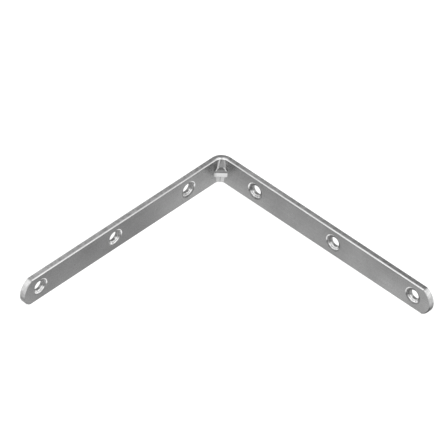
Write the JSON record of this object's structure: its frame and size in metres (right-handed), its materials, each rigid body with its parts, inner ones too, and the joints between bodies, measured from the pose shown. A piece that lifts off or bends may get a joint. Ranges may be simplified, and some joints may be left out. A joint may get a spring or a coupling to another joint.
{
  "type": "angle bracket",
  "caption": "Narrow steel angle bracket with equal legs, a pressed rib across the inside of its bend, and countersunk screw holes along both legs.",
  "frame": {"origin": "outer corner of the angle, where the two outer faces meet when drawn out, at the strip's lower edge", "axes": "+X along the first leg, +Y along the second leg, +Z across the strip's width; the outer faces look along -Y and -X"},
  "size_m": [0.152, 0.152, 0.017],
  "materials": {
    "steel": "satin"
  },
  "bodies": {
    "root": {"bracket": "steel"}
  },
  "joints": []
}
